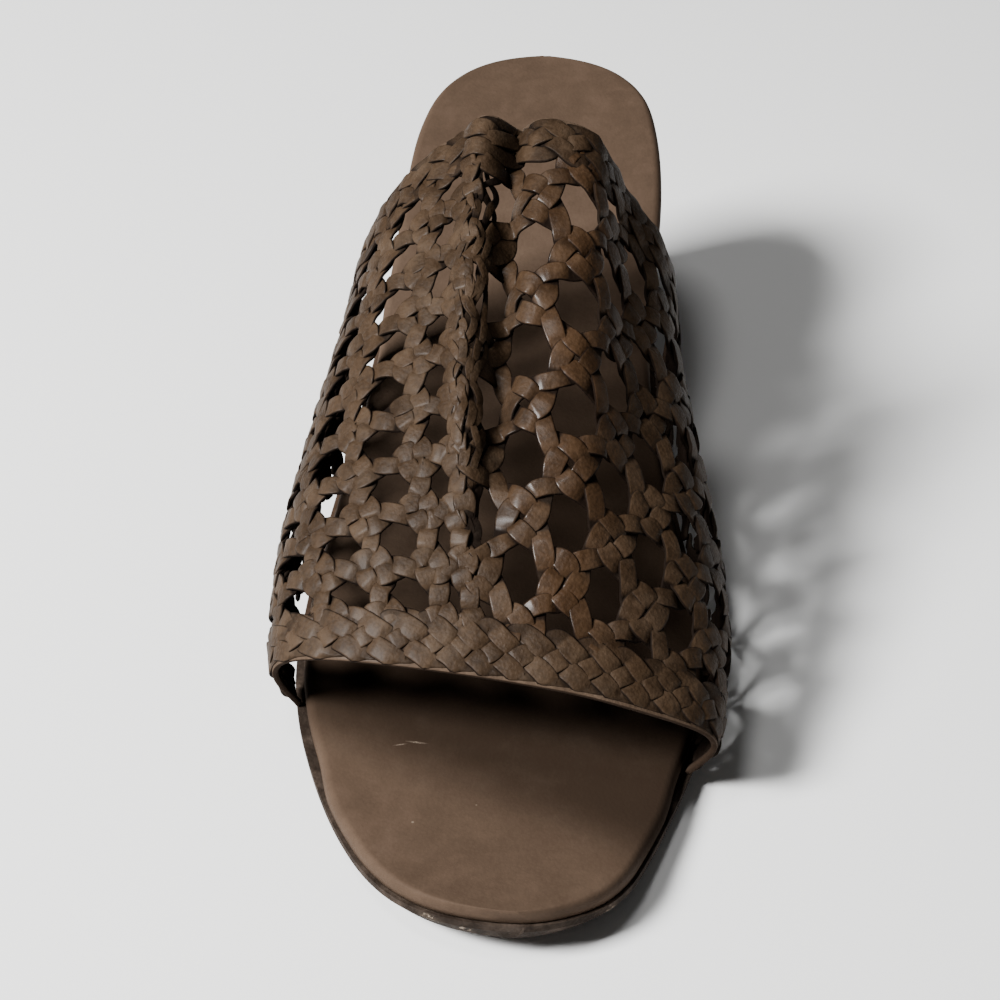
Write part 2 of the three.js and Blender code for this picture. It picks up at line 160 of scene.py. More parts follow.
def aim(thing: Thing, place: Sequence[float], target: Sequence[float]) -> None:
    """Moves a light or camera to a place and turns it to a target, both in the frame."""
    thing.location = place
    thing.rotation_euler = (Vector(target) - Vector(place)).to_track_quat("-Z", "Y").to_euler()


def new_material(name: str) -> tuple[Material, Node]:
    """Makes a material with nodes.

    Args:
        name: name of the material.

    Returns:
        The material and its shader node.
    """
    material = bpy.data.materials.new(name)
    material.use_nodes = True
    return material, material.node_tree.nodes["Principled BSDF"]


@dataclass(frozen=True)
class Sole:
    """Outline and side profile of the sole, shared by every piece above it."""

    length: float = 228.0
    outsole: float = 4.0
    insole: float = 3.2
    insole_inset: float = 1.8
    shown_inset: float = 0.5
    most_inset: float = 0.3
    cover_start: Pair = (30.0, 44.0)
    cover_end: Pair = (138.0, 152.0)
    gap: float = 0.3
    toe_spring: float = 5.5
    toe_spring_end: float = 40.0
    heel_lean: float = 6.0
    heel_lean_start: float = 150.0
    end_turn: float = 0.045
    width_steps: int = 400
    # back, lateral edge, medial edge
    outline: tuple[Place, ...] = (
        (0, 4.5, 4.5), (2.3, -9.2, 14), (6.5, -16.6, 20.4), (13, -22.8, 25.3), (22, -28.4, 29),
        (32, -33.2, 32.5), (44, -37.8, 36.3), (56, -41.4, 39.3), (68, -43.6, 41), (82, -44.2, 40.5),
        (100, -42.2, 36.4), (120, -38.4, 31.4), (140, -34.8, 28.4), (160, -32.3, 28), (180, -31, 28.8),
        (200, -29, 27.4), (214, -25, 24), (223, -17.6, 16.8), (228, -0.5, -0.5),
    )
    # back, height that the wedge gives the insole
    rise_table: tuple[Pair, ...] = (
        (0, 0), (60, 0), (80, 2.6), (100, 9.2), (120, 18.6), (140, 29.2),
        (160, 39.2), (180, 47.4), (200, 53), (214, 55.2), (228, 57),
    )

    def turn(self, back: Array) -> Array:
        """Reads the angle that keeps both ends of the outline round: its cosine falls evenly with back."""
        return np.arccos(np.clip(1 - 2 * np.asarray(back, float) / self.length, -1, 1))

    def stations(self, count: int, first_back: float = 0.0) -> Array:
        """Spreads places along the sole, close together at the round ends.

        Args:
            count: number of places.
            first_back: where the first place lies.

        Returns:
            Distances behind the toe tip, as a column.
        """
        first = max(float(self.turn(first_back)), self.end_turn)
        turns = np.linspace(first, math.pi - self.end_turn, count)
        return self.length * (1 - np.cos(turns))[:, None] / 2

    def inset(self, back: Array) -> Array:
        """Reads how far the insole is brought in: nearly flush where it shows, further in under the upper."""
        under = hump(self.cover_start, self.cover_end, back)
        return self.shown_inset + (self.insole_inset - self.shown_inset) * under

    def edges(self, back: Array, inset: Array | float) -> tuple[Array, Array]:
        """Reads both side edges, brought in by an inset that shrinks at the round ends.

        Args:
            back: distances behind the toe tip.
            inset: how far the edges are brought in.

        Returns:
            Lateral and medial edges across the foot.
        """
        table = [(float(self.turn(row[0])), *row[1:]) for row in self.outline]
        lateral, medial = smooth_curves(table, self.turn(back))
        taken = np.minimum(inset, self.most_inset * (medial - lateral))
        return lateral + taken, medial - taken

    def brought_in(self, back: Array, inset: float) -> Array:
        """Moves places in from both round ends by an inset."""
        return inset + back * (1 - 2 * inset / self.length)

    def spring(self, back: Array) -> Array:
        """Reads the toe spring: a square curve that ends where the sole meets the floor."""
        return self.toe_spring * np.clip(1 - np.asarray(back, float) / self.toe_spring_end, 0, 1) ** 2

    def rise(self, back: Array) -> Array:
        """Reads the height that the wedge gives the insole."""
        return np.maximum(smooth_curves(self.rise_table, back)[0], 0)

    def insole_bottom(self, back: Array) -> Array:
        """Reads the height of the insole's underside."""
        return self.spring(back) + self.outsole + self.rise(back) + self.gap

    def leaned(self, back: Array) -> Array:
        """Moves the foot of the wedge's back forward, along a square curve."""
        past = np.maximum(0, np.asarray(back, float) - self.heel_lean_start)
        return back - self.heel_lean * (past / (self.length - self.heel_lean_start)) ** 2

    def to_frame(self, points: Array) -> Array:
        """Moves points from the sole's own millimetres to the frame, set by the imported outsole's box.

        Args:
            points: points as across, back and up in the last axis.

        Returns:
            The same points in metres in the frame.
        """
        low, high = (np.array(corner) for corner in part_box("outsole"))
        lateral, medial = self.edges(np.linspace(1, self.length - 1, self.width_steps), 0)
        across = (lateral.min() + medial.max()) / 2 - (low[0] + high[0]) / 2 / MM
        toe = float(self.stations(1)[0, 0]) - low[1] / MM
        return (points - np.array([across, toe, -low[2] / MM])) * MM


SOLE = Sole()


@dataclass(frozen=True)
class Fold:
    """A soft fold along the upper: a bell-shaped ridge, or a trough where its height is below zero."""

    around: float
    spread: float
    height: float


@dataclass
class UpperForm:
    """The curved middle face of the upper over the last.

    A spot on it is a pair in an array's last axis: a share of the girth, from the lateral side to the
    medial one, and a share of the length, from the toe edge to the collar.
    """

    wall: float = 2.2
    feather_lift: float = 0.45
    crest_power: float = 0.9
    lateral_peak: float = 2.6
    medial_peak: float = 3.5
    fade: Pair = (0.1, 0.5)
    folds: tuple[Fold, ...] = (
        Fold(0.462, 0.021, 2.6),
        Fold(0.496, 0.023, -4.6),
        Fold(0.6, 0.04, 1.8),
        Fold(0.7, 0.06, -2.2),
    )
    lean: float = 0.0276
    lean_middle: float = 0.27
    lean_reach: float = 0.23
    lean_in: Pair = (0.0, 0.2)
    lean_out: Pair = (0.36, 0.52)
    # back, crest across, crest height, lateral bulge, medial bulge, lateral round, medial round
    sections: tuple[tuple[float, ...], ...] = (
        (34, 5, 29, 7.5, 7.5, 0.95, 0.85),
        (45, 4, 34.5, 9, 7, 0.95, 0.88),
        (60, 2, 44, 9, 5.5, 1, 0.92),
        (80, 0, 56.5, 7.5, 4, 1.05, 0.95),
        (100, -1, 68.5, 6.5, 4, 1.1, 0.95),
        (120, -1, 80, 5.5, 4, 1.1, 0.95),
        (140, -1, 89.5, 5, 4.2, 1.1, 0.95),
        (150, -1, 93, 5, 4.2, 1.1, 0.95),
    )
    # share of girth, toe edge, collar edge
    rims: tuple[Place, ...] = (
        (0, 60, 134), (0.1, 55, 137), (0.2, 49.5, 139.5), (0.4, 42.5, 145),
        (0.6, 39, 145), (0.8, 39.5, 140), (1, 45.5, 134),
    )
    girth_steps: int = 240
    back_steps: int = 59
    near: float = 0.004
    near_folded: float = 0.003
    _theta: Array = field(init=False, repr=False)
    _backs: Array = field(init=False, repr=False)

    def __post_init__(self) -> None:
        """Tables the angle that lies each share of the girth around the last, for a row of sections."""
        self._backs = np.linspace(self.sections[0][0], self.sections[-1][0], self.back_steps)
        wanted = np.linspace(0, 1, self.girth_steps + 1)
        angles = math.pi * wanted
        grid = self.last_points(*np.broadcast_arrays(angles, self._backs[:, None]))
        lengths = np.linalg.norm(np.diff(grid, axis=1), axis=-1)
        shares = np.hstack([np.zeros((self.back_steps, 1)), np.cumsum(lengths, axis=1)])
        self._theta = np.stack([np.interp(wanted, share / share[-1], angles) for share in shares])

    def last_points(self, theta: Array, back: Array) -> Array:
        """Gives points of the last: a half superellipse over the foot with bulged flanks and a shifted crest.

        Args:
            theta: angles from the lateral feather line to the medial one.
            back: distances behind the toe tip, as many.

        Returns:
            Points in millimetres.
        """
        curves = smooth_curves(self.sections, back)
        crest_x, crest_z, bulge_lateral, bulge_medial, round_lateral, round_medial = curves
        outward = SOLE.gap + self.wall / 2 - SOLE.insole_inset
        lateral, medial = SOLE.edges(back, 0)
        middle, half = (lateral + medial) / 2, (medial - lateral) / 2 + outward
        across, over = np.cos(theta), np.clip(np.sin(theta), 0, 1)
        outer = across >= 0
        lateral_bulge = bulge_lateral * self.lateral_peak * over * across**2
        medial_bulge = bulge_medial * self.medial_peak * over * across**4
        reach = half * np.abs(across) ** np.where(outer, round_lateral, round_medial)
        reach = reach + np.where(outer, lateral_bulge, medial_bulge)
        foot = SOLE.insole_bottom(back) + self.feather_lift
        x = middle + (crest_x - middle) * over**2 + np.where(outer, -1.0, 1.0) * reach
        z = foot + (crest_z - foot) * over**self.crest_power
        return np.stack([x, back, z], axis=-1)

    def _angle(self, around: Array, back: Array) -> Array:
        """Reads the table of angles, blended between its four nearest entries.

        Args:
            around: shares of the girth.
            back: distances behind the toe tip.

        Returns:
            Angles around the last.
        """
        row = (back - self._backs[0]) / (self._backs[1] - self._backs[0])
        row = np.clip(row, 0, self.back_steps - 1 - TINY)
        column = np.clip(around * self.girth_steps, 0, self.girth_steps - TINY)
        above, left = row.astype(int), column.astype(int)
        down, right = row - above, column - left
        first = self._theta[above, left] * (1 - right) + self._theta[above, left + 1] * right
        second = self._theta[above + 1, left] * (1 - right) + self._theta[above + 1, left + 1] * right
        return first * (1 - down) + second * down

    def leaned(self, spot: Array) -> Array:
        """Leans the net's lines: nearer the toe they move inwards, less at the sole and past the fold."""
        share = hump(self.lean_in, self.lean_out, spot[..., 0])
        return spot[..., 0] + self.lean * share * np.tanh((self.lean_middle - spot[..., 1]) / self.lean_reach)

    def smooth_points(self, spot: Array) -> Array:
        """Gives points of the upper without its folds: between the rims' curves, on the last.

        Args:
            spot: spots on the upper.

        Returns:
            Points in millimetres.
        """
        around = self.leaned(spot)
        toe, collar = smooth_curves(self.rims, around)
        back = toe + (collar - toe) * spot[..., 1]
        return self.last_points(self._angle(around, back), back)

    def _normals(self, points: Callable[[Array], Array], spot: Array, step: float) -> Array:
        """Gives outward normals of a face from the differences to its near neighbours.

        Args:
            points: the face as a function of spots.
            spot: spots on the upper.
            step: distance to the neighbours.

        Returns:
            Unit normals.
        """
        right, ahead = np.array([step, 0.0]), np.array([0.0, step])
        low, high = (0.0, -math.inf), (1.0, math.inf)
        across = points(np.clip(spot + right, low, high)) - points(np.clip(spot - right, low, high))
        along = points(spot + ahead) - points(spot - ahead)
        return unit(np.cross(across, along))

    def fold_height(self, spot: Array) -> Array:
        """Adds the folds up: bells across the girth that fade out towards the toe edge."""
        bells = [fold.height * bell(spot[..., :1], fold.around, fold.spread) for fold in self.folds]
        return smooth_step(*self.fade, spot[..., 1:]) * sum(bells)

    def points(self, spot: Array) -> Array:
        """Gives points of the upper's middle face with its folds, moved along the smooth normals."""
        normals = self._normals(self.smooth_points, spot, self.near)
        return self.smooth_points(spot) + normals * self.fold_height(spot)

    def normals(self, spot: Array) -> Array:
        """Gives outward normals of the folded face."""
        return self._normals(self.points, spot, self.near_folded)

    def along(self, spot: Array) -> Array:
        """Gives the way from toe to collar on the folded face, in millimetres for the whole length."""
        ahead = np.array([0.0, self.near_folded])
        return (self.points(spot + ahead) - self.points(spot - ahead)) / (2 * self.near_folded)


FORM = UpperForm()


@dataclass
class MeshPool:
    """Gathers tubes of rings, then makes one mesh object of them in the frame."""

    vertices: list[Array] = field(default_factory=list)
    faces: list[tuple[int, ...]] = field(default_factory=list)
    layers: list[Array] = field(default_factory=list)
    count: int = 0

    def add_tube(
        self, rings: Array, rise: Array | float, tone: float = EVEN_TONE, polish: Array | float = 0.0
    ) -> None:
        """Adds rings of points joined into a closed tube, with flat caps at both ends.

        Args:
            rings: points as ring, place in the ring, and axis.
            rise: how proud each point lies, from 0 to 1; the finish paints shade where it is low, and the
                insole carries its painted shadow in it.
            tone: shade of the whole tube, from 0 to 1.
            polish: how far each ring is polished by wear, from 0 to 1.
        """
        shape = rings.shape[:2]
        place = self.count + np.arange(shape[0] * shape[1]).reshape(shape)
        ahead = np.roll(place, -1, axis=1)
        quads = np.dstack([place[:-1], ahead[:-1], ahead[1:], place[1:]]).reshape(-1, 4)
        self.faces.extend(map(tuple, quads.tolist()))
        self.faces.extend([tuple(place[0][::-1].tolist()), tuple(place[-1].tolist())])
        self.vertices.append(rings.reshape(-1, 3))
        layers = [np.broadcast_to(value, shape) for value in (rise, tone, polish)]
        self.layers.append(np.dstack(layers).reshape(-1, 3))
        self.count += place.size

    def build(self, name: str, material: Material, slot: Slot, node: str) -> Thing:
        """Makes the object, rides it on the root body and hides the CAD node it stands for.

        Args:
            name: name of the piece.
            material: finish of the piece.
            slot: the record's slot; not used.
            node: CAD node that the piece stands for.

        Returns:
            The finished object at the origin.
        """
        mesh = bpy.data.meshes.new(name)
        mesh.from_pydata(SOLE.to_frame(np.concatenate(self.vertices)), [], self.faces)
        # rise carries the painted shade that the finish lays on low places
        for label, values in zip(("rise", "tone", "polish"), np.concatenate(self.layers).T):
            layer = mesh.attributes.new(label, "FLOAT", "POINT")
            layer.data.foreach_set("value", values.astype(np.float32))
        mesh.polygons.foreach_set("use_smooth", np.ones(len(mesh.polygons), bool))
        mesh.materials.append(material)
        mesh.update()
        piece = placed(name, mesh)
        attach(piece, "root")
        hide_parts(node)
        LOG.info("%s: %d faces", name, len(mesh.polygons))
        return piece


@dataclass(frozen=True)
class LeatherStrip:
    """One leather strip of the weave: a flat band with soft edges, carried along a path on the upper.

    A path has four columns: a spot's two shares, height over the upper's face, and share of the width.
    """

    width: float = 4.5
    thickness: float = 0.8
    samples: int = 8
    pinch: float = 0.26
    climb: Pair = (0.24, 0.76)
    sway: float = 0.09
    sway_pace: Pair = (0.5, 1.1)
    ragged: float = 0.06
    ragged_pace: Pair = (0.7, 1.5)
    # share of half the width over which the top fades to not proud: the finish paints shade along the strip's
    # edges
    edge: Pair = (0.78, 1.0)
    # shares of half the width and of half the thickness, round the band from its left edge over the top
    section: tuple[Pair, ...] = (
        (-1.0, -0.1), (-0.98, 0.5), (-0.91, 0.88), (-0.77, 1.0), (0.0, 1.05),
        (0.77, 1.0), (0.91, 0.88), (0.98, 0.5), (1.0, -0.1), (0.8, -0.95), (-0.8, -0.95),
    )

    def path(self, knots: Array) -> Array:
        """Rounds a row of knots into a path: a Catmull-Rom curve in place, eased steps in height and width.

        Args:
            knots: the path's four columns at each crossing.

        Returns:
            The same four columns, sampled between the crossings.
        """
        last = len(knots) - 1
        at = np.linspace(0, last, last * self.samples + 1)
        knot = np.clip(at.astype(int), 0, last - 1)
        part = (at - knot)[:, None]
        before, start = knots[np.maximum(knot - 1, 0)], knots[knot]
        end, after = knots[knot + 1], knots[np.minimum(knot + 2, last)]
        curve = 2 * start + (end - before) * part
        curve = curve + (2 * before - 5 * start + 4 * end - after) * part**2
        curve = curve + (3 * start - before - 3 * end + after) * part**3
        height = start + (end - start) * smooth_step(*self.climb, part)
        width = start + (end - start) * smooth_step(0.0, 1.0, part)
        return np.column_stack([curve[:, :2] / 2, height[:, 2], width[:, 3]])

    def widths(self, signs: Array) -> Array:
        """Gives a width share for each crossing: full on top, drawn together where the strip dips under."""
        return 1 - self.pinch * (1 - signs) / 2

    def held(self, path: Array, side: Array, offset: Array, rim: float) -> Array:
        """Holds a band inside a rim: what would stand past it is drawn back to the rim's line.

        Args:
            path: the path's four columns.
            side: sideways direction of each ring.
            offset: sideways distance of each point from the path.
            rim: length share of the rim, 0 at the toe or 1 at the collar.

        Returns:
            The sideways distances that stay inside.
        """
        inward = FORM.along(path[:, :2]) * (1 - 2 * rim)
        room = np.abs(path[:, 1:2] - rim) * np.linalg.norm(inward, axis=-1, keepdims=True)
        outward = -offset * np.sum(side * unit(inward), axis=-1, keepdims=True)
        return offset * np.where(outward > room, room / np.maximum(outward, TINY), 1.0)

    def sweep(
        self, path: Array, proud: float, random: Random, lift: float = 0.0, rim: float | None = None
    ) -> tuple[Array, Array]:
        """Carries the band along a path: sideways on the face, up by its normal, and rolled a little.

        Args:
            path: the path's four columns.
            proud: height of a strip that lies on top.
            random: seeded source of unevenness.
            lift: height of the middle of the weave.
            rim: length share of the rim that the band stays inside, where there is one.

        Returns:
            Rings of points, and how proud each point lies: nothing at the edges and underneath, where the
            finish paints shade.
        """
        normal = FORM.normals(path[:, :2])
        centre = FORM.points(path[:, :2]) + normal * path[:, 2:3]
        tangent = unit(np.gradient(centre, axis=0))
        side = unit(np.cross(normal, tangent))
        up = np.cross(tangent, side)
        beat = np.arange(len(path)) / self.samples
        roll = self.sway * random_wave(beat, self.sway_pace, random)[:, None]
        half = self.width / 2 * path[:, 3] * (1 + self.ragged * random_wave(beat, self.ragged_pace, random))
        across, high = np.array(self.section[::-1]).T
        offset = half[:, None] * across
        if rim is not None:
            offset = self.held(path, side, offset, rim)
        rolled_side = side * np.cos(roll) + up * np.sin(roll)
        rolled_up = up * np.cos(roll) - side * np.sin(roll)
        rings = centre[:, None] + rolled_side[:, None] * offset[..., None]
        rings = rings + rolled_up[:, None] * (self.thickness / 2 * high)[:, None]
        rise = np.clip(((path[:, 2:3] - lift) / proud + 1) / 2, 0, 1)
        # not proud at the edges and underneath: the finish paints shade there, between and under the strips
        return rings, rise * np.where(high > 0, 1 - smooth_step(*self.edge, np.abs(across)), 0)


@dataclass
class StripNet:
    """A net of strips on the upper: twisted pairs that plait two over two at each cluster.

    Past the first number of gathered columns, the net is drawn together by the second number.
    """

    origin: Pair
    cell: Pair
    turned: bool
    span: tuple[int, int]
    limits: tuple[Pair, Pair]
    border: float
    strip: LeatherStrip = LeatherStrip()
    gathered: Pair = (99.0, 1.0)
    reach: float = 0.3
    proud: float = 0.43
    tuck: float = 0.8
    twist_width: float = 0.9
    uneven: Pair = (0.0022, 0.003)
    polished: Pair = (0.59, 0.08)
    margin: int = 3
    fewest: int = 3

    def place(self, lattice: Array) -> Array:
        """Turns lattice places into spots: a straight grid, or one turned by an eighth.

        Args:
            lattice: places as two lattice numbers.

        Returns:
            Spots on the upper.
        """
        x, y = lattice.T
        across, along = ((x + y) / 2, (y - x) / 2) if self.turned else (x + 0.5, y + 0.5)
        columns, drawn = self.gathered
        across = np.minimum(across, columns) + drawn * np.maximum(across - columns, 0)
        return np.array(self.origin) + np.column_stack([across, along]) * self.cell

    def chain(self, family: Family, line: int, phase: int) -> Array:
        """Lists the crossings of one strip: in and out of each cluster, then the twist before the next.

        Args:
            family: which way the strip leans.
            line: number of its line of clusters.
            phase: 0 or 1, the side on which it enters the first cluster.

        Returns:
            A path's four columns at each crossing.
        """
        lean = family.value
        far = self.span[1] + self.margin
        number = np.arange(far + self.margin - self.span[0])
        first = ((number + phase) % 2 == 0)[:, None]
        centre = np.column_stack([lean * (line - far + number), line + far - number])
        enter = centre + self.reach * np.where(first, [0.0, 1.0], [-lean, 0.0])
        leave = centre + self.reach * np.where(first, [lean, 0.0], [0.0, -1.0])
        twist = centre + np.array([0.5 * lean, -0.5])
        sign = np.where(first[:, 0], 1.0, -1.0) * lean
        places = self.place(np.hstack([enter, leave, twist]).reshape(-1, 2))
        signs = np.column_stack([sign, -sign, sign]).reshape(-1)
        widths = self.strip.widths(signs) * np.tile([1.0, 1.0, self.twist_width], len(number))
        return np.column_stack([places, signs * self.proud, widths])

    def _trimmed(self, knots: Array) -> Array:
        """Keeps the crossings inside the net's limits, and dips those near the ends under the borders.

        Args:
            knots: a path's four columns at each crossing.

        Returns:
            The crossings that stay.
        """
        low, high = np.array(self.limits).T
        kept = knots[np.all((knots[:, :2] >= low) & (knots[:, :2] <= high), axis=1)]
        end = np.minimum(kept[:, 1], 1 - kept[:, 1])
        kept[:, 2] -= self.tuck * (1 - smooth_step(0.0, self.border, end))
        return kept

    def strips(self) -> list[Array]:
        """Lists the strips of the net inside its limits, by family, line and phase."""
        lines = range(self.span[0], self.span[1] + 1)
        found = [self._trimmed(self.chain(*choice)) for choice in product(Family, lines, (0, 1))]
        return [knots for knots in found if len(knots) >= self.fewest]

    def add_to(self, pool: MeshPool, random: Random) -> None:
        """Sweeps every strip of the net into a pool, polished in a bell along the crest of the foot.

        Args:
            pool: where the strips go.
            random: seeded source of unevenness.
        """
        for knots in self.strips():
            knots[:, :2] += random.normal(0, self.uneven, (len(knots), 2))
            path = self.strip.path(knots)
            rings, rise = self.strip.sweep(path, self.proud, random)
            pool.add_tube(rings, rise, random.uniform(0, 1), bell(path[:, :1], *self.polished))


@dataclass
class FlatPlait:
    """A flat plait along one line of the upper: strands that swing from edge to edge, over one, under one."""

    strip: LeatherStrip
    strands: int
    periods: float
    run: Pair
    middle: float
    swing: float
    lengthwise: bool
    uneven: float
    lift: float = 0.5
    proud: float = 0.32
    dip: float = 0.0
    turn_dip: float = 0.0
    rim: float | None = None

    def strand(self, number: int) -> Array:
        """Lists one strand's crossings: a triangle wave across the band, height by turns over and under.

        Args:
            number: number of the strand.

        Returns:
            A path's four columns at each crossing.
        """
        period = 2 * self.strands
        last = int(self.periods * period)
        walked = np.arange(last + 1)
        beat = (walked + 2 * number) % period
        turning = beat % self.strands == 0
        sign = np.where(beat % 2 == 0, 1.0, -1.0) * np.where(beat < self.strands, 1.0, -1.0) * ~turning
        ended = 1 - smooth_step(0, self.strands, np.minimum(walked, last - walked))
        height = self.lift + sign * self.proud - self.dip * ended - self.turn_dip * turning
        along = self.run[0] + walked / (self.periods * period) * (self.run[1] - self.run[0])
        across = self.middle + self.swing * (np.abs(2 * beat / self.strands - 2) - 1)
        places = [across, along] if self.lengthwise else [along, across]
        return np.column_stack([*places, height, self.strip.widths(sign)])

    def add_to(self, pool: MeshPool, random: Random) -> None:
        """Sweeps every strand of the plait into a pool.

        Args:
            pool: where the strands go.
            random: seeded source of unevenness.
        """
        for number in range(self.strands):
            knots = self.strand(number)
            knots[:, :2] += random.normal(0, self.uneven, (len(knots), 2))
            knots[:, 0] = np.clip(knots[:, 0], 0, 1)
            path = self.strip.path(knots)
            rings, rise = self.strip.sweep(path, self.proud, random, self.lift, self.rim)
            pool.add_tube(rings, rise, random.uniform(0, 1))


@dataclass
class Upper:
    """The woven upper: two nets of strips, a narrow plait along the fold, plaited borders, turned edges."""

    border: float = 0.075
    feather: float = 0.02
    fold_start: float = 0.45
    fold_end: float = 0.5
    rows: int = 9
    outer_first: float = 0.0625
    outer_last: float = 0.4025
    outer_columns: int = 4
    inner_columns: int = 8
    overlap: float = 0.018
    ridge_strip: LeatherStrip = LeatherStrip(width=1.9, thickness=0.6, pinch=0.5)
    ridge_run: Pair = (0.16, 0.95)
    ridge_swing: float = 0.014
    border_strip: LeatherStrip = LeatherStrip(width=4.2, pinch=0.06, sway=0.05)
    border_middle: float = 0.55
    border_swing: float = 0.53
    edge_strip: LeatherStrip = LeatherStrip(width=1.3, thickness=1.2, sway=0.0)
    edge_steps: int = 160
    seed: int = 7

    def build(self, woven: Material, edge: Material) -> None:
        """Builds the nets, the fold's plait, the borders and the turned edges.

        Args:
            woven: finish of the strips.
            edge: finish of the thin turned edges.
        """
        random = np.random.default_rng(self.seed)
        weaves = {
            "upper_outer_weave": self._outer_net(),
            "upper_inner_weave": self._inner_net(),
            "upper_fold_plait": self._ridge(),
            "upper_toe_border": self._border(0.0),
            "upper_collar_border": self._border(1.0),
        }
        for name, weave in weaves.items():
            pool = MeshPool()
            weave.add_to(pool, random)
            pool.build(name, woven, Slot.WOVEN, "upper")
        for name, rim in (("upper_toe_edge", 0.0), ("upper_collar_edge", 1.0)):
            pool = MeshPool()
            pool.add_tube(*self._turned_edge(rim, random))
            pool.build(name, edge, Slot.WOVEN, "upper")

    def _row(self) -> float:
        """Gives the length share of one row of gaps."""
        return (1 - 2 * self.border) / self.rows

    def _ends(self) -> Pair:
        """Gives the length shares where the nets' strips end: the middles of the borders."""
        return (0.5 * self.border, 1 - 0.5 * self.border)

    def _outer_net(self) -> StripNet:
        """Gives the outer side's net: gaps in rows and columns, drawn together beside the fold."""
        column = (self.outer_last - self.outer_first) / self.outer_columns
        return StripNet(
            origin=(self.outer_first, self.border),
            cell=(column, self._row()),
            turned=True,
            span=(-1, self.rows),
            limits=((0.0, self.fold_start + self.overlap), self._ends()),
            border=self.border,
            gathered=(float(self.outer_columns), (self.fold_start - self.outer_last) / column),
        )

    def _inner_net(self) -> StripNet:
        """Gives the inner side's net: gaps that alternate with clusters, half a row off the outer side's."""
        return StripNet(
            origin=(self.fold_end, self.border - self._row() / 2),
            cell=((1 - self.feather - self.fold_end) / self.inner_columns, self._row()),
            turned=False,
            span=(-self.rows, self.rows + self.inner_columns),
            limits=((self.fold_start, 1.0), self._ends()),
            border=self.border,
        )

    def _ridge(self) -> FlatPlait:
        """Gives the long narrow strands along the fold's ridge, with ends that dip under the nets."""
        return FlatPlait(
            self.ridge_strip,
            strands=7,
            periods=1.5,
            run=self.ridge_run,
            middle=FORM.folds[0].around,
            swing=self.ridge_swing,
            lengthwise=True,
            proud=0.4,
            uneven=0.003,
            dip=1.2,
        )

    def _border(self, rim: float) -> FlatPlait:
        """Gives the plait beside a rim, at that length share, with strips that end straight at its line."""
        return FlatPlait(
            self.border_strip,
            strands=4,
            periods=4.8,
            run=(1.0, 0.0),
            middle=abs(rim - self.border_middle * self.border),
            swing=self.border_swing * self.border,
            lengthwise=False,
            uneven=0.0012,
            turn_dip=0.1,
            rim=rim,
        )

    def _turned_edge(self, rim: float, random: Random) -> tuple[Array, Array]:
        """Sweeps a thin even band along a rim.

        Args:
            rim: length share of the rim.
            random: seeded source of unevenness.

        Returns:
            Rings of points, and how proud each point lies.
        """
        around = np.linspace(0, 1, self.edge_steps)
        even = np.ones_like(around)
        path = np.column_stack([around, rim * even, 0 * even, even])
        return self.edge_strip.sweep(path, 1.0, random)


@dataclass(frozen=True)
class Insole:
    """The leather-covered insole: a flat loft along the sole with a rolled edge and a dished heel."""

    rolled: float = 2.0
    most_rolled: float = 0.3
    heel_dish: float = 1.4
    # painted shadow of the upper across the insole, slanted with the light from the lateral side, and painted
    # light under the outer weave that fades towards the medial side
    shade: Pair = (-8.0, 56.0)
    slant: float = 0.5
    under: Pair = (60.0, 85.0)
    painted_light_under: float = 0.7
    inner: Pair = (-20.0, 5.0)
    inner_end: Pair = (110.0, 165.0)
    inner_loss: float = 0.8
    stations: int = 170
    edge_steps: int = 7
    top_steps: int = 21

    def build(self, material: Material) -> None:
        """Builds the insole as a closed tube of rings.

        Args:
            material: finish of the insole.
        """
        rings = self._rings()
        pool = MeshPool()
        # the painted light and shade go in as the rise attribute, which the finish darkens where it is low
        pool.add_tube(rings, self._painted_light_and_shade(rings))
        pool.build("insole_leather", material, Slot.INSOLE, "insole")

    def _rings(self) -> Array:
        """Gives rings from toe to heel: quarter circles at both edges, and a sine dish between."""
        place = SOLE.stations(self.stations)
        lateral, medial = SOLE.edges(place, SOLE.inset(place))
        back = SOLE.brought_in(place, SOLE.shown_inset)
        bottom = SOLE.insole_bottom(back)
        top = bottom + SOLE.insole
        curve = np.minimum(self.rolled, self.most_rolled * (medial - lateral))
        dish = self.heel_dish * np.sin(SOLE.turn(place)) * SOLE.rise(back) / SOLE.rise_table[-1][1]
        angle = np.linspace(0, math.pi / 2, self.edge_steps)
        share = np.linspace(0, 1, self.top_steps)[1:-1]
        roll_in = curve * (1 - np.cos(angle))
        roll_z = top + curve * (np.sin(angle) - 1)
        flat_x = lateral + curve + (medial - lateral - 2 * curve) * share
        flat_z = top - dish * np.sin(math.pi * share)
        x = np.hstack([medial, lateral, lateral + roll_in, flat_x, medial - roll_in[:, ::-1]])
        z = np.hstack([bottom, bottom, roll_z, flat_z, roll_z[:, ::-1]])
        return np.dstack([x, np.broadcast_to(back, x.shape), z])

    def _painted_light_and_shade(self, rings: Array) -> Array:
        """Paints light and shade on the top: pale at the toe, a painted shadow of the upper behind it along a
        slant, painted light again under the outer weave, less towards the medial side.

        Args:
            rings: the insole's rings.

        Returns:
            How pale each point is, from 0 to 1, as painted light and shade.
        """
        across, back = rings[..., 0], rings[..., 1]
        shaded = smooth_step(*self.shade, back + self.slant * across)
        inner = smooth_step(*self.inner, across) * (1 - smooth_step(*self.inner_end, back))
        under = smooth_step(*self.under, back) * (1 - self.inner_loss * inner)
        return 1 - shaded + self.painted_light_under * under * shaded


